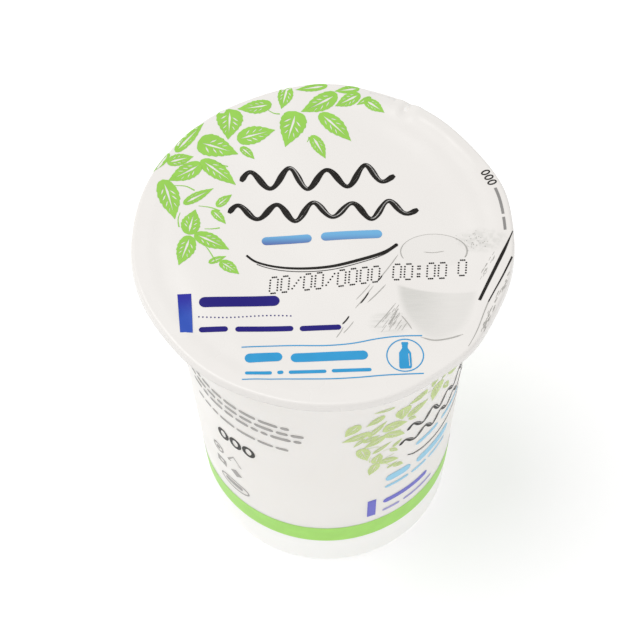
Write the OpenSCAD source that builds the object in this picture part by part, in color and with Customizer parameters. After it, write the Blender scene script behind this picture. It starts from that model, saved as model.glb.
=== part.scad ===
// Yogurt pot: a tapered plastic cup, full and shut, with a sealed foil lid.
// Millimetres, +Z up. The origin is the centre of the base, on the surface it stands on.

/* [Cup] */
// Height from the surface it stands on to the top of the lid
pot_h = 88; // [80:1:95]
// Radius of the wall's straight taper, carried down to the base
wall_base_r = 25.5; // [23:0.1:27]
// Radius of the wall's straight taper, carried up to the lid
wall_top_r = 31.2; // [29:0.1:32]
// Radius of the rounded edge between wall and base
base_round_r = 2.4; // [1.6:0.1:4]
// Depth of the hollow under the base
base_recess_h = 1.4; // [0.6:0.1:2.5]
// Width of the ring that the pot stands on
foot_w = 1.6; // [1:0.1:3]

/* [Shoulder] */
// Height of the wide collar between shoulder and flange
collar_h = 8; // [5:0.5:12]
// Radius of the collar where it meets the flange
collar_r = 33.4; // [33:0.1:34.5]
// Height of the slope from wall to collar
shoulder_h = 1.6; // [1:0.1:3]

/* [Flange] */
// Radius of the flange that the lid is sealed to
flange_r = 37.1; // [36:0.1:38]
// Thickness of the flange
flange_t = 1.1; // [0.8:0.1:1.6]
// Radius of the round between collar and flange
flange_fillet_r = 0.8; // [0.4:0.1:1]

/* [Lid] */
// Thickness of the lid's sheet, with its lacquer and sealing layer
lid_t = 0.3; // [0.2:0.05:0.5]
// How far the lid's edge is turned down outside the flange
skirt_h = 1.9; // [1:0.1:2.5]
// Width of the raised sealing band above the flange
seal_w = 3.4; // [2:0.1:3.6]
// How far the sealing band stands above the middle of the lid
seal_rise = 0.35; // [0.1:0.05:0.6]

/* [Hidden] */
$fn = 96;

// Steps in one quarter turn of a rounded edge
arc_steps = 8;
// Width of the slope from the sealing band to the middle of the lid
seal_slope_w = 0.8;
// How much narrower the collar is at its bottom than at the flange
collar_taper = 0.3;

lid_outer_r = flange_r + lid_t;
lid_mid_top = pot_h - seal_rise;
flange_top = pot_h - lid_t;
flange_bottom = flange_top - flange_t;
contents_top = lid_mid_top - lid_t;
collar_bottom = flange_bottom - collar_h;
wall_top = collar_bottom - shoulder_h;
seal_inner_r = lid_outer_r - seal_w;

// Radius of the tapered wall at height z
function wall_r(z) = wall_base_r + (wall_top_r - wall_base_r) * z / pot_h;

// Points of an arc about [cx, cz] from angle a0 to angle a1
function arc(cx, cz, r, a0, a1) =
    [for (i = [0 : arc_steps])
        let (a = a0 + (a1 - a0) * i / arc_steps) [cx + r * cos(a), cz + r * sin(a)]];

// Where the rounded base edge is centred, so that it meets the wall
round_cx = wall_r(base_round_r) - base_round_r;
foot_inner_r = round_cx - foot_w;

// Half outline of the full cup: recessed base, round edge, tapered wall,
// shoulder, collar, flange, and the level of what the lid closes in
cup_outline = concat(
    [[0, base_recess_h],
     [foot_inner_r - base_recess_h, base_recess_h],
     [foot_inner_r, 0]],
    arc(round_cx, base_round_r, base_round_r, -90, 0),
    [[wall_r(wall_top), wall_top],
     [collar_r - collar_taper, collar_bottom]],
    arc(collar_r + flange_fillet_r, flange_bottom - flange_fillet_r, flange_fillet_r, 180, 90),
    arc(flange_r - flange_t / 2, flange_bottom + flange_t / 2, flange_t / 2, -90, 90),
    [[seal_inner_r, flange_top],
     [seal_inner_r - seal_slope_w, contents_top],
     [0, contents_top]]);

// Half outline of the lid: flat middle, slope up to the sealing band, edge turned down
lid_outline = concat(
    [[0, contents_top],
     [seal_inner_r - seal_slope_w, contents_top],
     [seal_inner_r, flange_top],
     [flange_r, flange_top],
     [flange_r, pot_h - skirt_h],
     [lid_outer_r, pot_h - skirt_h]],
    arc(lid_outer_r - lid_t, pot_h - lid_t, lid_t, 0, 90),
    [[seal_inner_r, pot_h],
     [seal_inner_r - seal_slope_w, lid_mid_top],
     [0, lid_mid_top]]);

// Plastic cup and its contents, closed and never opened, as one solid
module cup() {
    color("#f2f0ec")
        rotate_extrude() polygon(cup_outline);
}

// Lid of lacquered foil, sealed to the flange
module lid() {
    color("#efece8")
        rotate_extrude() polygon(lid_outline);
}

cup();
lid();
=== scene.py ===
"""Looks of the yogurt pot: printed cup, sealed foil lid, studio floor, light and camera.

Lengths are in millimetres, and MM turns them into Blender's metres where a mesh or a shader
needs them. The floor and the lights are placed in metres. +Z is up, the pot stands on z = 0
and the reader of the lid is at -Y.
"""
import math
import random

import bpy
from mathutils import Matrix, Vector, geometry


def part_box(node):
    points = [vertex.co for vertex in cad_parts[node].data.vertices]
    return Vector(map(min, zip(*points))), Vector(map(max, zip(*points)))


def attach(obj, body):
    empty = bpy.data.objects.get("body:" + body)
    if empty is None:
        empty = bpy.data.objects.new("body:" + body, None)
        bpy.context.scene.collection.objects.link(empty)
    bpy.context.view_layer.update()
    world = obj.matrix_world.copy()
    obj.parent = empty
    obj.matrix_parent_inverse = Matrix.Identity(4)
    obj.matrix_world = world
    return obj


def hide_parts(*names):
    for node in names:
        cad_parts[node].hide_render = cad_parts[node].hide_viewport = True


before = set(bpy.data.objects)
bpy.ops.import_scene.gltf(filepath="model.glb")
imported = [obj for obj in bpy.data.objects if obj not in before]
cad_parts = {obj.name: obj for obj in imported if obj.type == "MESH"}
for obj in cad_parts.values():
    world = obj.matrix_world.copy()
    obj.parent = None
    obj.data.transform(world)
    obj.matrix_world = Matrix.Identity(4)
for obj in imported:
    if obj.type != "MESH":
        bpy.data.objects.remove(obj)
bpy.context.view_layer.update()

MM = 0.001
BODY = "root"
SEED = 7               # for every random draw, so each run is the same

# ---------------------------------------------------------------- sizes from the frame
lid_low, lid_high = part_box("lid")
cup_low, cup_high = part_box("cup")
POT_H = lid_high[2] / MM
LID_R = lid_high[0] / MM
LID_LOW = lid_low[2] / MM
FLANGE_R = cup_high[0] / MM
FLANGE_TOP = cup_high[2] / MM

# ---------------------------------------------------------------- sizes of the cup
WALL_BASE_R = 25.5
WALL_TOP_R = 31.2
BASE_ROUND_R = 2.4
BASE_RECESS = 1.4
FOOT_W = 1.6
COLLAR_H = 8.0
COLLAR_R = 33.4
SHOULDER_H = 1.6
FLANGE_T = 1.1
FILLET_R = 0.8

# ---------------------------------------------------------------- sizes of the lid
SEAL_OUT = 34.6        # where the raised sealing band starts
SEAL_IN = 31.6         # where the slope up to it starts
RING_IN = 33.2         # inner edge of the flange under the foil
SEAL_RISE = 0.35
FOIL_RISE = 0.22       # the drawn foil eases over the band, so it shows less
TURN_R = 0.7           # round of the turned-down edge
EDGE_S = LID_R - TURN_R
SKIRT = POT_H - TURN_R - LID_LOW
FOIL_T = 0.15
INK = 0.04             # how far the ink lies over a surface

# ---------------------------------------------------------------- the print
BAND_LOW = 11.4        # the green band round the cup
BAND_HIGH = 17.7
WALL_PRINT_SCALE = 0.68  # the wall repeats the lid's front design at this scale
WALL_PRINT_AZIMUTH = 56.2
WALL_PRINT_Z = 44.4
WALL_R = 28.4          # radius that turns the wall print's x into an azimuth
WALL_FRONTS = (0, 180)  # the wall's design runs twice round the pot
RIM_PRINT_R = 35.7     # the small print along the lid's rim

# ---------------------------------------------------------------- light and colour
LID_LIGHT = 1.11       # how much light the lid and the wall get
WALL_LIGHT = 1.0
INK_GLOSS = 0.012      # what an ink's own gloss adds
PALEST = 0.95          # limits of a surface colour
DARKEST = 0.004
WORLD_STRENGTH = 0.62
FLOOR_GLOW = 0.345     # keeps the paper near white under soft light
FLOOR_SIZE = 3.0       # half its side, in metres


# ================================================================ small helpers
def smooth(a, b, x):
    """0 below a, 1 above b, and a smooth step between."""
    t = min(max((x - a) / (b - a), 0.0), 1.0)
    return t * t * (3 - 2 * t)


def bump(x, centre, width):
    """A bell of height 1 about centre."""
    return math.exp(-((x - centre) / width) ** 2)


def turn_gap(a, b):
    """Difference of two angles in degrees, between -180 and 180."""
    return (a - b + 180) % 360 - 180


def new_mesh(name, verts, faces, material):
    """A smooth-shaded mesh object from points in millimetres."""
    mesh = bpy.data.meshes.new(name)
    mesh.from_pydata([(x * MM, y * MM, z * MM) for x, y, z in verts], [], faces)
    mesh.validate()
    mesh.materials.append(material)
    mesh.polygons.foreach_set("use_smooth", [True] * len(mesh.polygons))
    obj = bpy.data.objects.new(name, mesh)
    bpy.context.collection.objects.link(obj)
    return obj


# ================================================================ materials
def linear(c):
    """One sRGB channel from 0 to 255 as a linear value."""
    c = c / 255
    return c / 12.92 if c <= 0.04045 else ((c + 0.055) / 1.055) ** 2.4


def seen(r, g, b, light=LID_LIGHT, gloss=0.0):
    """Surface colour that reads as this sRGB colour under the studio light."""
    return tuple(min(max(linear(c) - gloss, DARKEST) / light, PALEST) for c in (r, g, b)) + (1.0,)


class Nodes:
    """Short ways to add and join shader nodes."""

    def __init__(self, name, roughness, **sockets):
        self.material = bpy.data.materials.new(name)
        self.material.use_nodes = True
        self.tree = self.material.node_tree
        self.shader = self.tree.nodes["Principled BSDF"]
        self.shader.inputs["Roughness"].default_value = roughness
        for socket, value in sockets.items():
            self.shader.inputs[socket.replace("_", " ")].default_value = value

    def add(self, kind, links=None, **values):
        """Adds a node. links gives each input a number or another node's output."""
        node = self.tree.nodes.new(kind)
        for key, value in values.items():
            setattr(node, key, value)
        for socket, source in (links or {}).items():
            if hasattr(source, "is_output"):
                self.tree.links.new(source, node.inputs[socket])
            else:
                node.inputs[socket].default_value = source
        return node

    def place(self):
        """The point's place on the object, in metres."""
        return self.add("ShaderNodeTexCoord").outputs["Object"]

    def math(self, operation, a, b=0.0, c=0.0):
        return self.add("ShaderNodeMath", {0: a, 1: b, 2: c}, operation=operation).outputs[0]

    def noise(self, scale, detail=2.0, vector=None):
        links = {"Scale": scale, "Detail": detail, "Vector": vector or self.place()}
        return self.add("ShaderNodeTexNoise", links).outputs["Fac"]

    def ramp(self, value, low, high, to_low=0.0, to_high=1.0):
        """A smooth step from to_low at low to to_high at high. Low may lie above high."""
        links = {"Value": value, "From Min": low, "From Max": high,
                 "To Min": to_low, "To Max": to_high}
        return self.add("ShaderNodeMapRange", links, interpolation_type="SMOOTHSTEP").outputs[0]

    def mix(self, factor, a, b):
        node = self.add("ShaderNodeMix", {"Factor": factor}, data_type="RGBA")
        for socket, value in ((6, a), (7, b)):
            if hasattr(value, "is_output"):
                self.tree.links.new(value, node.inputs[socket])
            else:
                node.inputs[socket].default_value = value
        return node.outputs[2]

    def colour(self, source):
        self.tree.links.new(source, self.shader.inputs["Base Color"])

    def rough(self, source):
        self.tree.links.new(source, self.shader.inputs["Roughness"])

    def relief(self, height, strength, distance):
        links = {"Height": height, "Strength": strength, "Distance": distance}
        node = self.add("ShaderNodeBump", links)
        self.tree.links.new(node.outputs["Normal"], self.shader.inputs["Normal"])


def cup_plastic():
    """White thermoformed plastic: satin, a little translucent, faintly uneven."""
    n = Nodes("cup_plastic", 0.34, Subsurface_Weight=0.25, Subsurface_Scale=0.004,
              Subsurface_Radius=(1.0, 0.9, 0.8), IOR=1.49)
    cloud = n.noise(60.0, 3.0)
    white = n.mix(cloud, seen(246, 242, 237), seen(249, 246, 242))
    # below the green band the plastic is unprinted; its brighter colour there is partly that and partly
    # painted bounce light from the floor
    height = n.add("ShaderNodeSeparateXYZ", {0: n.place()}).outputs[2]
    unprinted_and_painted_bounce = n.ramp(height, (BAND_LOW + 0.4) * MM, (BAND_LOW + 0.2) * MM)
    n.colour(n.mix(unprinted_and_painted_bounce, white, (0.95, 0.94, 0.91, 1.0)))
    n.rough(n.ramp(n.noise(90.0, 4.0), 0.3, 0.7, 0.28, 0.42))
    n.relief(n.noise(700.0, 2.0), 0.15, 0.0002)
    return n.material


def ellipse_gap(n, x, y, cx, cy, rx, ry):
    """Squared distance of x, y from an ellipse's centre: 1 on the ellipse."""
    dx = n.math("DIVIDE", n.math("SUBTRACT", x, cx), rx)
    dy = n.math("DIVIDE", n.math("SUBTRACT", y, cy), ry)
    return n.math("ADD", n.math("MULTIPLY", dx, dx), n.math("MULTIPLY", dy, dy))


def pencil_shade(n):
    """Soft grey of the drawn cup at the lid's lower right: 0 bare, 1 full grey."""
    split = n.add("ShaderNodeSeparateXYZ", {0: n.place()})
    x = n.math("DIVIDE", split.outputs[0], MM)
    y = n.math("DIVIDE", split.outputs[1], MM)

    # the cup's body: the lower half of a tall ellipse, cut off by the front of its lip
    streak = n.add("ShaderNodeMapping", {"Vector": n.place(), "Scale": (260.0, 2600.0, 1.0)})
    grain = n.ramp(n.noise(1.0, 4.0, streak.outputs[0]), 0.3, 0.7, 0.8, 1.0)
    body = n.ramp(ellipse_gap(n, x, y, 22.0, -10.4, 7.8, 13.0), 1.12, 0.7)
    tilted = n.math("SUBTRACT", y, n.math("MULTIPLY", n.math("SUBTRACT", 22.0, x), 0.12))
    below_lip = n.ramp(ellipse_gap(n, x, tilted, 22.0, -10.2, 8.2, 2.0), 0.9, 1.5)
    below_lip = n.math("MULTIPLY", below_lip, n.ramp(tilted, -10.2, -10.8))
    dark = n.math("MULTIPLY", n.ramp(x, 25.0, 17.0), n.ramp(y, -22.0, -13.0, 0.4, 1.0))
    tone = n.math("MULTIPLY_ADD", dark, 0.32, 0.24)
    body = n.math("MULTIPLY", n.math("MULTIPLY", body, below_lip), n.math("MULTIPLY", tone, grain))

    # the pale lip and mouth, and the mottled wash beside them
    lip = n.ramp(ellipse_gap(n, x, y, 21.6, -2.8, 6.6, 4.2), 1.1, 0.8, 0.0, 0.07)
    wash = n.ramp(ellipse_gap(n, x, y, 31.0, -0.6, 5.8, 3.0), 1.2, 0.1, 0.0, 0.36)
    wash = n.math("MULTIPLY", wash, n.ramp(n.noise(1100.0, 2.0), 0.36, 0.62, 0.25, 1.0))

    # the scrubbed shade at its left foot
    tilt = n.add("ShaderNodeMapping", {"Vector": n.place(), "Rotation": (0, 0, -1.0),
                                       "Scale": (200.0, 1500.0, 1.0)})
    scrub = n.ramp(ellipse_gap(n, x, y, 12.8, -19.2, 4.4, 3.0), 1.3, 0.2, 0.0, 0.38)
    scrub = n.math("MULTIPLY", scrub, n.ramp(n.noise(1.0, 3.0, tilt.outputs[0]), 0.36, 0.64, 0.2, 1.0))
    return n.math("MAXIMUM", n.math("MAXIMUM", body, lip), n.math("MAXIMUM", scrub, wash))


def lid_lacquer():
    """Warm white lacquer on foil, with the drawn cup's soft grey in it."""
    n = Nodes("lid_lacquer", 0.36, IOR=1.5)
    white = n.mix(n.noise(45.0, 3.0), seen(242, 238, 234), seen(245, 242, 238))
    n.colour(n.mix(pencil_shade(n), white, seen(196, 196, 190)))
    n.rough(n.ramp(n.noise(120.0, 3.0), 0.3, 0.7, 0.24, 0.34))
    n.relief(n.noise(420.0, 3.0), 0.1, 0.0002)
    return n.material


def ink(name, low, high=None, between=None, roughness=0.4, light=LID_LIGHT):
    """Printed ink, faintly uneven. With high, it runs from low to high between two places
    along the lid's y."""
    n = Nodes(name, roughness, IOR=1.5, Specular_IOR_Level=0.2)
    low = seen(*low, light, INK_GLOSS)
    if high:
        y = n.add("ShaderNodeSeparateXYZ", {0: n.place()}).outputs[1]
        start, end = between
        n.colour(n.mix(n.ramp(y, start * MM, end * MM), low, seen(*high, light, INK_GLOSS)))
    else:
        lighter = tuple(c * 1.06 for c in low[:3]) + (1.0,)
        n.colour(n.mix(n.ramp(n.noise(260.0, 3.0), 0.4, 0.7), low, lighter))
    n.relief(n.noise(900.0, 2.0), 0.1, 0.0001)
    return n.material


# ================================================================ surfaces
def wall_r(z):
    """Radius of the tapered wall at a height."""
    return WALL_BASE_R + (WALL_TOP_R - WALL_BASE_R) * z / POT_H


# The foil's outline isn't a true circle: azimuth in degrees, how far it stands out there, and
# the half width of that bump in degrees
OUTLINE = [(-170, 0.2, 16), (-145, -0.35, 14), (-110, -0.25, 12), (-73, 0.4, 12), (-42, 0.35, 8),
           (-26, -0.25, 9), (17, 0.4, 9), (38, -0.3, 10), (87, 0.4, 14), (112, -0.25, 10), (157, 0.2, 12)]


def outline_shift(a):
    """How far the foil's edge stands out at azimuth a."""
    return sum(size * bump(turn_gap(math.degrees(a), at), 0, width) for at, size, width in OUTLINE)


def foil_top(s, a):
    """Height of the foil at radius s and azimuth a, up to where its edge turns down."""
    x, y = s * math.cos(a), s * math.sin(a)
    deg = math.degrees(a)
    z = POT_H - FOIL_RISE + FOIL_RISE * smooth(SEAL_IN, SEAL_OUT, s)
    free = 1 - smooth(27, SEAL_IN, s)
    slack = 0.16 * math.sin(0.17 * x + 0.07 * y + 0.6) + 0.1 * math.sin(0.1 * x - 0.23 * y + 1.9)
    slack += 0.05 * math.sin(0.37 * x + 0.21 * y) - 0.25 * bump(s, 0, 22)
    z += free * slack
    # small pulls where the foil is drawn over the ring
    pull = 0.03 * math.sin(31 * a + 2 * math.sin(3 * a)) * bump(s, RING_IN, 1.6)
    # a small dent at the far right, a fold to its right and the edge to its left pressed down
    gap = turn_gap(deg, 61)
    pinch = -0.42 * bump(gap, 0, 1.5) + 0.16 * bump(gap, 2.8, 1.4) + 0.18 * bump(gap, -3.2, 1.6)
    press = -0.4 * smooth(60, 66, deg) * (1 - smooth(72, 86, deg))
    z += pinch * smooth(32.5, 35.5, s) + press * smooth(34.6, 37.0, s)
    fold = 0.16 * smooth(26, 34, deg) * (1 - smooth(54, 59, deg))
    z += fold * bump(s, 35.4, 0.7)
    # the edge pressed a little lower along the near left
    fold = -0.16 * smooth(-150, -138, deg) * (1 - smooth(-124, -108, deg))
    z += fold * smooth(35.2, 36.8, s)
    return z + pull


def foil_point(s, a):
    """Radius and height of the foil at azimuth a, a distance s from its centre along the foil."""
    shift = outline_shift(a) * smooth(31, 36.5, s)
    if s <= EDGE_S:
        return s + shift, foil_top(s, a)
    z = foil_top(EDGE_S, a)
    turned = (s - EDGE_S) / TURN_R
    if turned < math.pi / 2:
        return EDGE_S + shift + TURN_R * math.sin(turned), z - TURN_R * (1 - math.cos(turned))
    down = s - EDGE_S - TURN_R * math.pi / 2
    return EDGE_S + shift + TURN_R + 0.12 * down, z - TURN_R - down


def foil_xyz(s, a, off=0.0):
    """The foil's point in space, lifted by off along its normal in the plane through the axis."""
    step = 0.02
    r, z = foil_point(s, a)
    if off:
        r1, z1 = foil_point(s + step, a)
        r0, z0 = foil_point(max(s - step, 0.0), a)
        dr, dz = r1 - r0, z1 - z0
        length = math.hypot(dr, dz)
        r, z = r - off * dz / length, z + off * dr / length
    return r * math.cos(a), r * math.sin(a), z


def on_lid(x, y):
    """Print at x, y of the flat foil, laid on the lid."""
    return foil_xyz(math.hypot(x, y), math.atan2(y, x), INK)


def on_wall(azimuth, z):
    """Print at an azimuth in degrees from -Y towards +X, and a height, laid on the wall."""
    a = math.radians(azimuth)
    r = wall_r(z) + INK
    return r * math.sin(a), -r * math.cos(a), z


def lathe(name, outline, material, segments=288):
    """A closed solid of revolution. The outline starts and ends on the axis."""
    verts = [(0, 0, outline[0][1])]
    faces = []
    ring = outline[1:-1]
    for r, z in ring:
        for i in range(segments):
            a = 2 * math.pi * i / segments
            verts.append((r * math.cos(a), r * math.sin(a), z))
    verts.append((0, 0, outline[-1][1]))
    last = len(verts) - 1
    for i in range(segments):
        j = (i + 1) % segments
        faces.append((0, 1 + j, 1 + i))
        for k in range(len(ring) - 1):
            a, b = 1 + k * segments, 1 + (k + 1) * segments
            faces.append((a + i, a + j, b + j, b + i))
        end = 1 + (len(ring) - 1) * segments
        faces.append((end + i, end + j, last))
    return new_mesh(name, verts, faces, material)


def arc(cx, cz, r, a0, a1, steps=8):
    """Points on a circle about cx, cz, from a0 to a1 degrees."""
    angles = [math.radians(a0 + (a1 - a0) * i / steps) for i in range(steps + 1)]
    return [(cx + r * math.cos(a), cz + r * math.sin(a)) for a in angles]


def cup():
    """The cup: recessed base, round edge, tapered wall, shoulder, collar and flange."""
    flange_low = FLANGE_TOP - FLANGE_T
    collar_low = flange_low - COLLAR_H
    wall_top = collar_low - SHOULDER_H
    round_cx = wall_r(BASE_ROUND_R) - BASE_ROUND_R
    foot_in = round_cx - FOOT_W
    inner = foot_in - BASE_RECESS
    # the hollow under the base, with a raised ring and a small button in its middle
    button, ridge = BASE_RECESS - 0.35, BASE_RECESS - 0.25
    points = [(0, button), (1.2, button), (1.6, BASE_RECESS - 0.1), (2.0, BASE_RECESS)]
    points += [(9.6, BASE_RECESS), (10.0, ridge), (10.6, ridge), (11.0, BASE_RECESS)]
    points += [(inner - 0.3, BASE_RECESS), (inner, BASE_RECESS - 0.1)]
    points += [(foot_in - 0.2, 0.12), (foot_in, 0.0)]
    # the round edge and the wall
    points += arc(round_cx, BASE_ROUND_R, BASE_ROUND_R, -90, 0, 14)
    rows = 24
    for i in range(1, rows + 1):
        z = BASE_ROUND_R + (wall_top - 0.4 - BASE_ROUND_R) * i / rows
        points.append((wall_r(z), z))
    # the shoulder, the collar and the flange
    points += [(wall_r(wall_top) + 0.06, wall_top), (wall_r(wall_top) + 0.35, wall_top + 0.35)]
    points += [(COLLAR_R - 0.75, collar_low - 0.35), (COLLAR_R - 0.4, collar_low),
               (COLLAR_R - 0.3, collar_low + 0.4)]
    points += arc(COLLAR_R + FILLET_R, flange_low - FILLET_R, FILLET_R, 180, 90)
    points += arc(FLANGE_R - FLANGE_T / 2, flange_low + FLANGE_T / 2, FLANGE_T / 2, -90, 90)
    # its top, set down under the foil inside the flange
    top = POT_H - SEAL_RISE - 1.2
    points += [(RING_IN + 0.2, FLANGE_TOP), (RING_IN, top), (0, top)]
    return lathe("cup_wall", points, cup_plastic())


def foil_lid():
    """The lid: foil over the flange, slack in the middle, its edge turned down all round."""
    segments = 480
    free, step = 29, 0.4
    turned = EDGE_S + TURN_R * math.pi / 2
    # wide rings on the free foil, then close ones over the seal, the turned edge and the skirt
    stations = [float(s) for s in range(1, free)]
    stations += [free + step * i for i in range(int((EDGE_S - free) / step) + 1)] + [EDGE_S]
    stations += [EDGE_S + TURN_R * math.pi / 2 * i / 6 for i in range(1, 7)]
    stations += [turned + SKIRT * i / 4 for i in range(1, 5)]
    # out along the upper face, round the edge and back along the lower face
    rings = [(s, 0.0) for s in stations] + [(s, -FOIL_T) for s in reversed(stations)]
    verts = [foil_xyz(0.0, 0.0)]
    for s, off in rings:
        for i in range(segments):
            verts.append(foil_xyz(s, 2 * math.pi * i / segments, off))
    middle = len(verts)
    verts.append(foil_xyz(0.0, 0.0, -FOIL_T))
    faces = []
    for i in range(segments):
        j = (i + 1) % segments
        faces.append((0, 1 + i, 1 + j))
        for k in range(len(rings) - 1):
            a, b = 1 + k * segments, 1 + (k + 1) * segments
            faces.append((a + i, b + i, b + j, a + j))
        end = 1 + (len(rings) - 1) * segments
        faces.append((end + i, middle, end + j))
    return new_mesh("lid_foil", verts, faces, lid_lacquer())


# ================================================================ flat shapes for the print
class Art:
    """Flat shapes, sorted by ink, in one plane's own x and y."""

    def __init__(self):
        self.inks = {}

    def put(self, name, verts, faces):
        """Adds points and faces to an ink."""
        v, f = self.inks.setdefault(name, ([], []))
        base = len(v)
        v.extend(verts)
        f.extend(tuple(base + i for i in face) for face in faces)

    def fill(self, name, loops, spacing=1.1):
        """Fills closed loops by the even-odd rule, in small triangles."""
        points, edges = [], []
        for loop in loops:
            base = len(points)
            points += loop
            edges += [(base + i, base + (i + 1) % len(loop)) for i in range(len(loop))]

        def inside(x, y):
            odd = False
            for i, j in edges:
                (x0, y0), (x1, y1) = points[i], points[j]
                if (y0 > y) != (y1 > y) and x < x0 + (x1 - x0) * (y - y0) / (y1 - y0):
                    odd = not odd
            return odd

        xs, ys = [p[0] for p in loops[0]], [p[1] for p in loops[0]]
        extra = []
        row = 0
        y = min(ys) + spacing / 2
        while y < max(ys):
            x = min(xs) + spacing / 2 * (1 + row % 2)
            while x < max(xs):
                if inside(x, y):
                    extra.append((x, y))
                x += spacing
            y += spacing * 0.87
            row += 1
        flat = [Vector(p) for p in points + extra]
        verts, _, tris, *_ = geometry.delaunay_2d_cdt(flat, edges, [], 0, 1e-5)
        keep = []
        for tri in tris:
            a, b, c = (verts[i] for i in tri)
            if inside((a.x + b.x + c.x) / 3, (a.y + b.y + c.y) / 3):
                area = (b - a).cross(c - a)
                keep.append(tuple(tri) if area > 0 else tuple(reversed(tri)))
        self.put(name, [(v.x, v.y) for v in verts], keep)

    def stroke(self, name, path, width, across=2):
        """A brush stroke along a path. width is a number, or a function of how far along it is,
        from 0 to 1."""
        lengths = [0.0]
        for (x0, y0), (x1, y1) in zip(path, path[1:]):
            lengths.append(lengths[-1] + math.hypot(x1 - x0, y1 - y0))
        verts, faces = [], []
        for i, (x, y) in enumerate(path):
            x0, y0 = path[max(i - 1, 0)]
            x1, y1 = path[min(i + 1, len(path) - 1)]
            d = math.hypot(x1 - x0, y1 - y0) or 1.0
            nx, ny = -(y1 - y0) / d, (x1 - x0) / d
            w = width(lengths[i] / lengths[-1]) if callable(width) else width
            for k in range(across + 1):
                t = w * (k / across - 0.5)
                verts.append((x + nx * t, y + ny * t))
        n = across + 1
        for i in range(len(path) - 1):
            for k in range(across):
                faces.append((i * n + k, (i + 1) * n + k, (i + 1) * n + k + 1, i * n + k + 1))
        self.put(name, verts, faces)

    def dot(self, name, x, y, r, sides=12):
        """A filled circle."""
        angles = [2 * math.pi * i / sides for i in range(sides)]
        ring = [(x + r * math.cos(a), y + r * math.sin(a)) for a in angles]
        self.put(name, [(x, y)] + ring, [(0, 1 + i, 1 + (i + 1) % sides) for i in range(sides)])

    def bar(self, name, x0, x1, y, h, rise=0.0):
        """A bar with round ends, from x0 to x1, h high. rise is how far its right end is lifted."""
        r = h / 2
        steps = max(int((x1 - x0) / 0.8), 3)
        ends = [r * (1 - math.cos(math.pi / 2 * i / 5)) for i in range(6)]
        along = [x0 + e + 1e-3 for e in ends]
        along += [x0 + r + (x1 - x0 - h) * i / steps for i in range(1, steps)]
        along += [x1 - e - 1e-3 for e in reversed(ends)]

        def height(t):
            x = x0 + t * (x1 - x0)
            cut = max(x0 + r - x, x - (x1 - r), 0.0)
            return 2 * math.sqrt(max(r * r - cut * cut, 1e-4))

        path = [(x, y + rise * (x - x0) / (x1 - x0)) for x in along]
        self.stroke(name, path, height, across=max(2, round(h / 0.8)))

    def lay(self, name, inks, surface):
        """Makes one piece for each ink, laid on a surface."""
        for ink_name, (verts, faces) in self.inks.items():
            points = [surface(x, y) for x, y in verts]
            obj = new_mesh(f"{name}_{ink_name}", points, faces, inks[ink_name])
            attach(obj, BODY)


def curve(points, steps=10):
    """A smooth path through points (Catmull-Rom)."""
    pts = [points[0]] + list(points) + [points[-1]]
    out = []
    for p0, p1, p2, p3 in zip(pts, pts[1:], pts[2:], pts[3:]):
        for i in range(steps):
            t = i / steps
            out.append(tuple(0.5 * (2 * b + (c - a) * t + (2 * a - 5 * b + 4 * c - d) * t * t
                                    + (3 * b - a - 3 * c + d) * t ** 3)
                             for a, b, c, d in zip(p0, p1, p2, p3)))
    out.append(tuple(points[-1]))
    return out


def taper(width, start=0.15, end=0.15):
    """Stroke width that swells from thin ends."""
    return lambda t: max(width * smooth(-0.02, start, t) * smooth(-0.02, end, 1 - t), 0.06)


# ---------------------------------------------------------------- leaves
# base x, base y, tip x, tip y, width, and whether it is round like a heart (1) or slender (0)
LEAVES = [
    (1.5, 36.6, -5.0, 35.9, 1.9, 0), (7.9, 36.1, 2.8, 35.2, 2.0, 0),
    (3.4, 34.6, -4.0, 30.8, 3.9, 0), (8.0, 34.6, 2.9, 32.0, 2.9, 0),
    (10.2, 33.9, 7.2, 32.1, 1.3, 0), (8.8, 33.2, 12.8, 30.2, 2.5, 0),
    (-0.2, 30.4, 6.0, 23.5, 3.9, 0), (-1.9, 25.0, 0.8, 19.4, 2.7, 0),
    (-5.0, 31.0, -7.2, 22.2, 5.6, 1), (-16.8, 24.3, -9.1, 26.4, 4.5, 0),
    (-18.4, 31.8, -18.6, 24.4, 5.6, 1), (-24.6, 23.8, -16.5, 20.9, 5.4, 1),
    (-9.8, 32.8, -16.8, 31.8, 3.5, 0), (-6.6, 37.0, -7.9, 31.6, 3.3, 0),
    (-29.0, 21.4, -23.4, 28.4, 2.6, 0), (-30.2, 21.2, -33.4, 16.8, 1.7, 0),
    (-30.6, 18.8, -25.4, 20.4, 2.9, 0), (-23.8, 18.8, -30.4, 14.6, 3.9, 0),
    (-24.0, 19.6, -17.0, 13.6, 3.8, 0), (-31.4, 14.9, -29.0, 5.6, 4.4, 0),
    (-27.4, 9.2, -21.4, 12.9, 2.2, 0), (-20.9, 8.6, -17.8, 11.4, 2.0, 0),
    (-21.8, 7.8, -19.0, 4.5, 1.9, 0), (-26.3, 2.0, -25.0, 8.0, 4.0, 0),
    (-26.0, 1.8, -28.2, -5.2, 3.9, 0), (-25.2, 2.2, -18.3, -1.6, 3.5, 0),
    (-22.4, -4.7, -18.9, -3.1, 1.5, 0), (-20.2, -4.3, -16.4, -7.3, 2.6, 0),
    (-16.1, 22.6, -13.3, 19.6, 1.9, 0),
]
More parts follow.
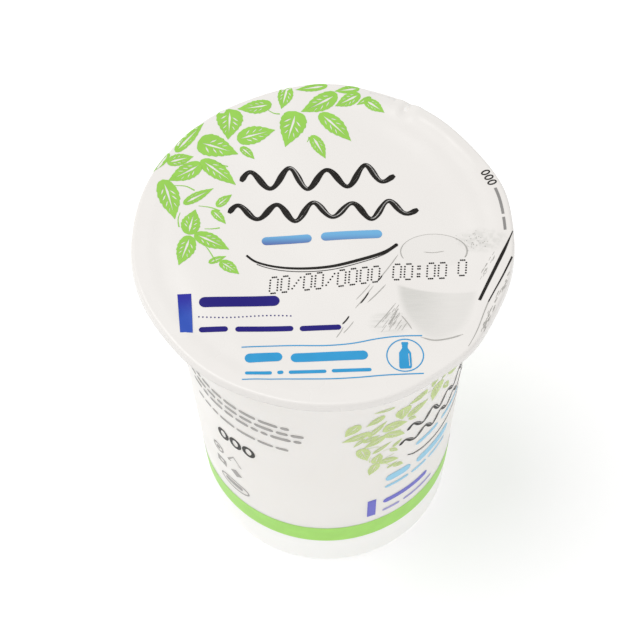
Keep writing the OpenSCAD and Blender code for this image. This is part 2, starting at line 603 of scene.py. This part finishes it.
STEMS = [
    [(-24.4, 8.8), (-22.0, 8.4), (-20.2, 7.6)], [(-24.2, 1.0), (-22.4, -1.6), (-21.0, -4.4)],
    [(-29.4, 13.6), (-27.0, 13.4), (-25.2, 12.4)], [(-10.6, 31.4), (-9.4, 30.6), (-8.2, 30.4)],
    [(-28.0, 7.2), (-28.4, 5.6), (-28.2, 3.8)], [(-21.2, 19.4), (-19.8, 18.4), (-18.6, 18.0)],
    [(-23.2, 3.4), (-21.6, 3.4), (-20.2, 3.6)], [(-2.8, 23.4), (-2.5, 24.0), (-2.4, 24.6)],
]
# the wall has room for more of the spray on its left than the round lid has
WALL_LEAVES = [
    (-31.9, 31.4, -35.9, 24.8, 4.2, 0), (-28.4, 24.6, -36.8, 21.2, 4.0, 0),
    (-21.3, 35.0, -27.8, 36.2, 1.6, 0), (-24.4, 32.6, -29.8, 28.8, 3.4, 0),
]


def leaf(art, name, base_x, base_y, tip_x, tip_y, width, heart, rng, scale=1.0, origin=(0.0, 0.0)):
    """One printed leaf: a toothed outline with its midrib and side veins left bare."""
    dx, dy = tip_x - base_x, tip_y - base_y
    length = math.hypot(dx, dy)
    ux, uy = dx / length, dy / length

    def at(t, v):
        """t runs along the leaf from 0 to 1, v across it in half widths."""
        bend = 0.35 * math.sin(math.pi * t) * width * 0.12
        side = v * width / 2 + bend
        x = base_x + ux * length * t - uy * side
        y = base_y + uy * length * t + ux * side
        return origin[0] + x * scale, origin[1] + y * scale

    peak = 0.32 if heart else 0.42

    def half(t):
        """The leaf's half width at t, as a share of its widest."""
        if t < peak:
            u = t / peak
            return math.sqrt(max(1 - (1 - u) ** 2, 0)) ** (0.8 if heart else 1.0)
        return math.cos((t - peak) / (1 - peak) * math.pi / 2) ** 1.15

    teeth = 7 if length > 5 else 4
    steps = teeth * 4
    outline = []
    for sign in (1, -1):
        for i in range(1, steps):
            k = i if sign > 0 else steps - i
            t = k / steps
            tooth = 0.13 * (1 - (t * teeth) % 1.0) * (0.4 + t)
            outline.append(at(t, sign * (half(t) * (1 - tooth) + 0.02 * rng.random())))
        outline.append(at(1.0, 0) if sign > 0 else at(0.0, 0))
    # the bare midrib and side veins are holes in the outline
    rib = 0.24 if length > 5 else 0.16
    rib_half = rib / (width / 2)
    loops = [outline, [at(0.1, 0.0), at(0.3, -rib_half), at(0.82, 0.0), at(0.3, rib_half)]]
    veins = 4 if length > 6 else (3 if length > 4.4 else (2 if length > 3.4 else 0))
    for i in range(veins):
        for sign in (1, -1):
            t = 0.2 + 0.15 * i + 0.03 * rng.random() + (0.05 if sign > 0 else 0)
            reach = (0.62 + 0.1 * rng.random()) * half(min(t + 0.12, 0.95))
            start = rib_half * 1.9
            if reach < start + 0.12:
                continue
            run = 0.14
            fat = 0.028 if length > 6 else 0.036
            middle = sign * (start + reach) / 2
            loops.append([at(t, sign * start), at(t + run * 0.5 + fat, middle),
                          at(t + run, sign * reach), at(t + run * 0.5 - fat, middle)])
    art.fill(name, loops)


# Brushed waves: start x, end x, middle y, rise, how many waves, half height
WAVES = [(-16.0, 14.4, 14.4, 0.8, 4.0, 2.7), (-18.4, 18.8, 7.0, 0.0, 5.0, 2.2)]


def front_design(art, scale, origin, leaf_ink, word_ink, bold=1.0):
    """The pot's front design: leaves, two brushed waves, a pair of word bars and a swoosh.

    All of it is in the lid's millimetres, scaled and then moved to the origin.
    """
    rng = random.Random(SEED)
    ox, oy = origin

    def move(path):
        return [(ox + x * scale, oy + y * scale) for x, y in path]

    for row in LEAVES:
        leaf(art, leaf_ink, *row, rng, scale, origin)
    for stem in STEMS:
        art.stroke(leaf_ink, move(curve(stem, 6)), lambda t: scale * (0.12 + 0.16 * t))

    # two brushed waves in place of lettering
    for x0, x1, y0, rise, waves, swing in WAVES:
        path = []
        steps = 220
        for i in range(steps + 1):
            t = i / steps
            phase = 2 * math.pi * waves * t
            high = swing * (0.84 + 0.16 * math.cos(2.3 * phase / waves + 1.0))
            high *= 1 - 0.5 * smooth(0.82, 1.0, t)
            path.append((x0 + (x1 - x0) * t, y0 + rise * t + high * math.sin(phase)))

        def brush(t):
            swell = 1.15 + 0.2 * math.cos(4 * math.pi * waves * t)
            ends = smooth(-0.01, 0.02, t) * smooth(-0.01, 0.02, 1 - t)
            return scale * bold * swell * (0.35 + 0.65 * ends)

        art.stroke("dark", move(path), brush, across=3)
        # a thin light line down the brush stroke
        shine = [(x + 0.2, y + 0.14) for x, y in path[6:-6]]
        art.stroke("shine", move(shine),
                   lambda t: scale * 0.2 * smooth(0, 0.05, t) * smooth(0, 0.05, 1 - t))

    for x0, x1, y in ((-12.0, -2.2, 0.2), (-0.4, 11.6, 0.9)):
        art.bar(word_ink, ox + x0 * scale, ox + x1 * scale, oy + y * scale,
                1.9 * bold * scale, 0.5 * scale)

    # the swoosh, with a thin second line under it
    swoosh = curve([(-15.0, -3.0), (-13.0, -4.6), (-9.0, -5.8), (-4.0, -6.2), (2.0, -5.8), (8.0, -4.3),
                    (12.0, -2.8), (14.3, -1.2)])
    art.stroke("dark", move(swoosh), lambda t: scale * (0.46 + 0.24 * smooth(0.1, 0.9, t)))
    art.dot("dark", ox + 14.3 * scale, oy - 1.2 * scale, 0.38 * scale)
    last = len(swoosh) - 1
    second = [(x, y - 0.74 * math.sin(math.pi * i / last) ** 0.5) for i, (x, y) in enumerate(swoosh)]
    art.stroke("dark", move(second[10:-2]), 0.16 * scale)


inks = {
    "green": ink("ink_green", (158, 214, 94)),
    "dark": ink("ink_dark", (42, 40, 38), roughness=0.45),
    "shine": ink("ink_shine", (190, 188, 185)),
    "grey": ink("ink_grey", (150, 148, 146)),
    "sky": ink("ink_sky", (60, 160, 215)),
    "word": ink("ink_word", (96, 110, 175), (120, 185, 230), between=(-1.2, 1.8)),
    "bar": ink("ink_bar", (62, 92, 190), (52, 52, 165), between=(-17.5, -12.0)),
    "indigo": ink("ink_indigo", (45, 38, 125)),
    "pencil": ink("ink_pencil", (182, 180, 175)),
    "leaf": ink("ink_leaf", (198, 216, 145), light=WALL_LIGHT),
    "wall_sky": ink("ink_wall_sky", (150, 205, 232), light=WALL_LIGHT),
    "wall_bar": ink("ink_wall_bar", (108, 108, 200), light=WALL_LIGHT),
    "wall_indigo": ink("ink_wall_indigo", (156, 153, 208), light=WALL_LIGHT),
    "wall_grey": ink("ink_wall_grey", (164, 161, 158), light=WALL_LIGHT),
    "band": ink("ink_band", (164, 221, 104), light=WALL_LIGHT),
}


def zero(art, ink_name, x, y, rx, ry, width, turn=0.0):
    """A plain figure 0: an upright oval ring, turned about its middle."""
    c, sn = math.cos(math.radians(turn)), math.sin(math.radians(turn))
    path = []
    for i in range(25):
        u, v = rx * math.cos(math.pi * i / 12), ry * math.sin(math.pi * i / 12)
        path.append((x + c * u - sn * v, y + sn * u + c * v))
    art.stroke(ink_name, path, width)


def date_dots(art):
    """A dot-matrix line of zeros, as a plain stand-in for a date: 00/00/0000 00:00 0."""
    nought = [(c, r) for c in range(1, 4) for r in (0, 6)]
    nought += [(c, r) for c in (0, 4) for r in range(1, 6)]
    slash = [(0, 1), (1, 2), (2, 3), (3, 4), (4, 5)]
    colon = [(1, 1), (2, 1), (1, 2), (2, 2), (1, 4), (2, 4), (1, 5), (2, 5)]
    shapes = {"0": nought, "/": slash, ":": colon}
    pitch, dot_x, dot_y, dot_r, slant = 2.2, 0.37, 0.6, 0.195, 0.05
    groups = (("00/00/0000", -10.6, -11.8, 0.1), ("00:00", 13.4, -9.3, 0.02), ("0", 26.1, -8.6, 0))
    for text, x0, y0, rise in groups:
        for i, sign in enumerate(text):
            for c, r in shapes[sign]:
                x = x0 + i * pitch + c * dot_x
                y = y0 + r * dot_y + rise * (x - x0)
                art.dot("dark", x + slant * r, y, dot_r, sides=8)


def lid_words(art):
    """The lid's heading and the two wavy rules under it, with bars in place of words."""
    # heading: dark blue bar, an indigo word bar, a dotted line, and small word bars
    art.fill("bar", [[(-28.4, -11.8), (-28.0, -20.7), (-25.4, -20.6), (-25.7, -11.8)]])
    art.bar("indigo", -24.2, -8.6, -13.8, 2.3, 0.4)
    for i in range(24):
        x = -24.2 + 0.77 * i
        art.dot("indigo", x, -17.0 - 0.25 * math.sin(math.pi * i / 12), 0.17, sides=8)
    for x0, x1 in ((-24.2, -18.6), (-17.2, -6.0), (-4.8, 3.2)):
        art.bar("indigo", x0, x1, -20.0 + 0.1 * math.sin(x0), 1.2, 0.1)

    # two light blue wavy rules with word bars between them
    rule = [(-16.0, -24.0), (-11.0, -23.8), (-6.0, -23.7), (0.0, -23.9), (5.0, -23.6), (10.0, -22.7),
            (14.0, -22.3), (18.7, -22.2)]
    art.stroke("sky", curve(rule), 0.24)
    art.stroke("sky", curve([(x, -31.4 + (y + 24) * 0.45) for x, y in rule]), 0.24)
    for x0, x1 in ((-15.4, -8.2), (-6.6, 8.2)):
        art.bar("sky", x0, x1, -26.5, 2.0, 0.3)
    for x0, x1 in ((-15.4, -10.2), (-9.2, -8.0), (-7.0, 0.2), (1.2, 8.8)):
        art.bar("sky", x0, x1, -29.6 + 0.02 * x0, 0.75, 0.1)


def ringed_bottle(art):
    """A ring with a plain bottle in it."""
    cx, cy, r = 15.3, -26.5, 3.5
    angles = [t * math.pi / 36 for t in range(73)]
    art.stroke("sky", [(cx + r * math.cos(a), cy + r * math.sin(a)) for a in angles], 0.24)
    half = [(0.0, 2.9), (0.6, 2.9), (0.7, 2.5), (0.55, 2.3), (0.55, 1.6), (1.15, 0.6), (1.2, -2.5),
            (1.0, -2.9), (0.0, -2.9)]
    bottle = [(cx + x, cy + y) for x, y in half] + [(cx - x, cy + y) for x, y in reversed(half[1:-1])]
    shine = [(cx + x, cy + y) for x, y in ((0.75, 0.5), (0.9, -2.2), (0.72, -2.4), (0.6, 0.4))]
    art.fill("sky", [bottle, shine])


def pencil_cup(art, rng):
    """Pencil lines of a plain cup: mouth, lip, foot, loose strokes on its left and scribble."""
    angles = [t * math.pi / 24 for t in range(-3, 28)]
    mouth = [(21.6 + 6.5 * math.cos(a), -2.8 + 4.0 * math.sin(a)) for a in angles]
    art.stroke("pencil", mouth, lambda t: 0.06 + 0.24 * bump(t, 0.1, 0.14) + 0.14 * bump(t, 0.92, 0.1))
    art.stroke("pencil", curve([(19.6, -2.9), (21.4, -3.1), (23.6, -2.8)]), taper(0.12))
    art.stroke("pencil", curve([(18.4, -22.5), (21.0, -23.2), (24.0, -22.8), (26.4, -22.0)]), taper(0.26))
    for x0, y0, x1, y1, w, ink_name in (
            (14.6, -3.4, 10.8, -9.0, 0.16, "pencil"), (11.4, -8.2, 10.4, -9.6, 0.24, "dark"),
            (9.6, -10.6, 6.0, -15.6, 0.14, "pencil"), (8.7, -12.0, 7.0, -14.6, 0.26, "dark"),
            (12.0, -10.4, 8.4, -14.4, 0.18, "pencil"), (9.0, -10.2, 6.2, -13.6, 0.12, "pencil"),
            (4.8, -17.3, 3.4, -19.2, 0.3, "dark"), (5.6, -18.6, 3.6, -21.2, 0.14, "pencil"),
            (3.6, -19.8, 2.2, -22.2, 0.14, "pencil"), (13.8, -14.8, 9.6, -20.2, 0.14, "pencil"),
            (14.2, -16.0, 12.4, -19.6, 0.2, "pencil"), (14.8, -17.6, 16.8, -20.8, 0.18, "pencil")):
        art.stroke(ink_name, curve([(x0, y0), ((x0 + x1) / 2 + 0.1, (y0 + y1) / 2), (x1, y1)], 8), taper(w))
    for _ in range(30):
        down = rng.random() ** 0.6
        x, y = 14.0 - 4.6 * down * rng.random() + 1.6 * down * rng.random(), -15.4 - 5.2 * down
        size = 0.4 + 0.8 * rng.random()
        art.stroke("pencil", [(x - 0.5 * size, y - 0.8 * size), (x, y), (x + 0.5 * size, y + 0.8 * size)],
                   0.04 + 0.06 * rng.random())


def right_edge(art, rng):
    """A bold line across the lid's right edge, thinner ones beside it, hatching and specks."""
    bold = curve([(37.2, 1.4), (35.6, -2.4), (33.2, -7.6), (30.1, -14.5)])
    art.stroke("dark", bold, lambda t: 0.2 + 0.45 * smooth(0.0, 0.35, t))
    art.stroke("dark", curve([(36.8, -4.6), (34.8, -9.0), (31.9, -15.0)]), lambda t: 0.36 - 0.12 * t)
    art.stroke("pencil", curve([(31.9, -15.0), (29.6, -20.4), (27.2, -24.6)]), lambda t: 0.24 - 0.14 * t)
    for _ in range(46):
        t = rng.random()
        out = rng.random()
        x, y = 36.9 - 7.4 * t + 0.9 * out, -6.4 - 15.4 * t - 0.2 * out
        reach = 0.5 + 0.9 * rng.random()
        if math.hypot(x, y) < 37.2:
            art.stroke("pencil", [(x, y), (x - 0.45 * reach, y - 0.95 * reach)], 0.05 + 0.08 * rng.random())
    for _ in range(16):
        t = rng.random()
        x, y = 33.4 - 2.6 * t + rng.gauss(0, 0.3), -3.6 - 5.2 * t + rng.gauss(0, 0.4)
        art.stroke("pencil", [(x, y), (x - 0.4, y - 0.8)], 0.05 + 0.06 * rng.random())
    for _ in range(40):
        x, y = rng.gauss(29.6, 1.2), rng.gauss(-0.6, 1.3)
        art.dot("pencil", x, y, 0.05 + 0.06 * rng.random(), sides=6)


def rim_words(art):
    """Small word bars along the lid's right rim, then a plain weight mark of zeros."""
    for a0, a1 in ((2.6, 7.4), (8.6, 18.6)):
        art.stroke("grey", arc(0.0, 0.0, RIM_PRINT_R, a0, a1, 12), 0.55)
    for turn in (20.9, 23.0, 25.1):
        a = math.radians(turn)
        x, y = RIM_PRINT_R * math.cos(a), RIM_PRINT_R * math.sin(a)
        zero(art, "dark", x, y, 0.42, 0.8, 0.3, turn - 90)


def lid_print():
    """All print on the lid. The pencil cup draws its random numbers before the right edge."""
    art = Art()
    rng = random.Random(SEED + 1)
    front_design(art, 1.0, (0.0, 0.0), "green", "word")
    date_dots(art)
    lid_words(art)
    ringed_bottle(art)
    pencil_cup(art, rng)
    right_edge(art, rng)
    rim_words(art)
    art.lay("lid_print", inks, on_lid)


def wall_signs(art, across):
    """Five small signs of no meaning: a ring, a triangle, a square, a lozenge and an oval."""
    zero(art, "wall_grey", across(-53.5), 35.8, 1.5, 1.5, 0.5)
    art.dot("wall_grey", across(-53.5), 35.8, 0.6)
    x = across(-43.6)
    triangle = [(x - 1.9, 34.6), (x + 1.9, 34.6), (x, 37.6)]
    art.stroke("wall_grey", triangle + triangle[:1], 0.55)
    x = across(-52.6)
    art.fill("wall_grey", [[(x - 1.5, 29.0), (x + 1.5, 29.0), (x + 1.5, 31.6), (x - 1.5, 31.6)],
                           [(x - 0.6, 29.8), (x + 0.6, 29.8), (x + 0.6, 30.9), (x - 0.6, 30.9)]])
    x = across(-43.4)
    art.fill("wall_grey", [[(x - 1.7, 30.2), (x, 28.6), (x + 1.7, 30.2), (x, 31.8)]])
    zero(art, "wall_grey", across(-46.0), 23.4, 4.2, 1.9, 0.45)
    art.bar("wall_grey", across(-51.6), across(-41.0), 23.6, 1.5)


# lines of word bars at the left: height, first and last azimuth, height of a bar
WALL_LINES = ((63.5, -64.0, -14.4, 1.15), (61.0, -66.0, -8.8, 1.15), (58.5, -64.0, -8.4, 1.15),
              (53.8, -62.0, -15.0, 0.95))
# bars of the front: ink, height, height of a bar, then the first and last azimuth of each
WALL_WORDS = (
    ("wall_sky", 36.0, 2.9, ((25.4, 38.0), (41.4, 64.0))),
    ("wall_sky", 32.2, 1.1, ((25.4, 37.4), (39.0, 48.0), (49.4, 62.0))),
    ("wall_bar", 25.4, 2.0, ((25.0, 50.0),)),
    ("wall_indigo", 21.1, 1.0, ((25.0, 34.0), (36.0, 54.0))),
)


def wall_print():
    """All print on the wall, twice round."""
    art = Art()
    turn = WALL_R * math.pi / 180
    rng = random.Random(SEED + 2)
    for side in WALL_FRONTS:
        centre = ((side + WALL_PRINT_AZIMUTH) * turn, WALL_PRINT_Z)
        front_design(art, WALL_PRINT_SCALE, centre, "leaf", "wall_sky", bold=1.15)
        for row in WALL_LEAVES:
            leaf(art, "leaf", *row, rng, WALL_PRINT_SCALE, centre)

        def across(azimuth):
            return (side + azimuth) * turn

        # dark bar, then light blue heading and dark heading, each with a small line under it
        left, right = across(17.6), across(21.6)
        art.fill("wall_bar", [[(left, 20.4), (right, 20.4), (right, 28.0), (left, 28.0)]])
        for ink_name, z, h, bars in WALL_WORDS:
            for a0, a1 in bars:
                art.bar(ink_name, across(a0), across(a1), z, h)
        for z, a0, a1, h in WALL_LINES:
            a = a0
            while a < a1 - 1.5:
                b = min(a + 3.0 + 6.0 * rng.random(), a1)
                art.bar("wall_grey", across(a), across(b), z, h)
                a = b + 1.0
        # bold weight mark of zeros, then small plain signs
        for a in (-47.6, -40.8, -34.0):
            zero(art, "dark", across(a), 45.7, 1.15, 1.75, 0.85)
        wall_signs(art, across)
    art.lay("wall_print", inks, lambda x, z: on_wall(x / turn, z))


def wall_band():
    """The green band round the cup, above its rounded base."""
    segments = 288
    rows = 6
    verts, faces = [], []
    for k in range(rows + 1):
        z = BAND_LOW + (BAND_HIGH - BAND_LOW) * k / rows
        for i in range(segments):
            verts.append(on_wall(360 * i / segments, z))
    for k in range(rows):
        for i in range(segments):
            j = (i + 1) % segments
            a, b = k * segments, (k + 1) * segments
            faces.append((a + i, a + j, b + j, b + i))
    obj = new_mesh("wall_band", verts, faces, inks["band"])
    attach(obj, BODY)


# ================================================================ stage
def floor():
    """A plain sheet of pale paper."""
    s = FLOOR_SIZE
    mesh = bpy.data.meshes.new("floor")
    mesh.from_pydata([(-s, -s, 0), (s, -s, 0), (s, s, 0), (-s, s, 0)], [], [(0, 1, 2, 3)])
    n = Nodes("floor_paper", 0.8, Emission_Color=(1.0, 1.0, 1.0, 1.0), Emission_Strength=FLOOR_GLOW)
    n.colour(n.mix(n.noise(8.0), (0.79, 0.79, 0.79, 1), (0.81, 0.81, 0.81, 1)))
    mesh.materials.append(n.material)
    obj = bpy.data.objects.new("floor", mesh)
    bpy.context.collection.objects.link(obj)


def light(name, place, target, size, power):
    """A soft round light at place, turned to target, size across in metres and power in watts."""
    data = bpy.data.lights.new(name, "AREA")
    data.shape = "DISK"
    data.size = size
    data.energy = power
    obj = bpy.data.objects.new(name, data)
    obj.location = place
    obj.rotation_euler = (Vector(target) - Vector(place)).to_track_quat("-Z", "Y").to_euler()
    bpy.context.collection.objects.link(obj)


def studio():
    """White surroundings, a large key nearly overhead and a low fill from the near right."""
    world = bpy.data.worlds.new("studio")
    world.use_nodes = True
    background = world.node_tree.nodes["Background"]
    background.inputs["Color"].default_value = (1.0, 1.0, 1.0, 1.0)
    background.inputs["Strength"].default_value = WORLD_STRENGTH
    bpy.context.scene.world = world
    light("key", place=(-0.445, 0.063, 1.15), target=(0, 0, 0.04), size=1.0, power=7.6)
    light("fill", place=(0.75, -0.6, 0.16), target=(0, 0, 0.03), size=0.5, power=0.86)
    bpy.context.scene.view_settings.view_transform = "Standard"


def camera():
    """A long lens, looking down at the reader's side of the lid."""
    distance, height, elevation = 665.0, 42.0, math.radians(59.29)
    yaw, pitch, roll = math.radians(0.08), math.radians(0.72), math.radians(1.06)
    place = Vector((0, -distance * math.cos(elevation), distance * math.sin(elevation) + height)) * MM
    ahead = Vector((0, math.cos(elevation), -math.sin(elevation)))
    right = Vector((1, 0, 0))
    up = right.cross(ahead)
    turned = Matrix.Rotation(yaw, 3, up)
    ahead, right = turned @ ahead, turned @ right
    tipped = Matrix.Rotation(pitch, 3, right)
    ahead, up = tipped @ ahead, tipped @ up
    rolled = Matrix.Rotation(roll, 3, ahead)
    right, up = rolled @ right, rolled @ up
    data = bpy.data.cameras.new("camera")
    data.sensor_width = 36.0
    data.lens = 180.0
    data.clip_start = 0.01
    obj = bpy.data.objects.new("camera", data)
    obj.matrix_world = Matrix.Translation(place) @ Matrix((right, up, -ahead)).transposed().to_4x4()
    bpy.context.collection.objects.link(obj)
    bpy.context.scene.camera = obj


camera()
studio()
floor()

cup_piece = cup()
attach(cup_piece, BODY)
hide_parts("cup")

lid_piece = foil_lid()
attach(lid_piece, BODY)
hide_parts("lid")

lid_print()
wall_band()
wall_print()

bpy.context.view_layer.update()
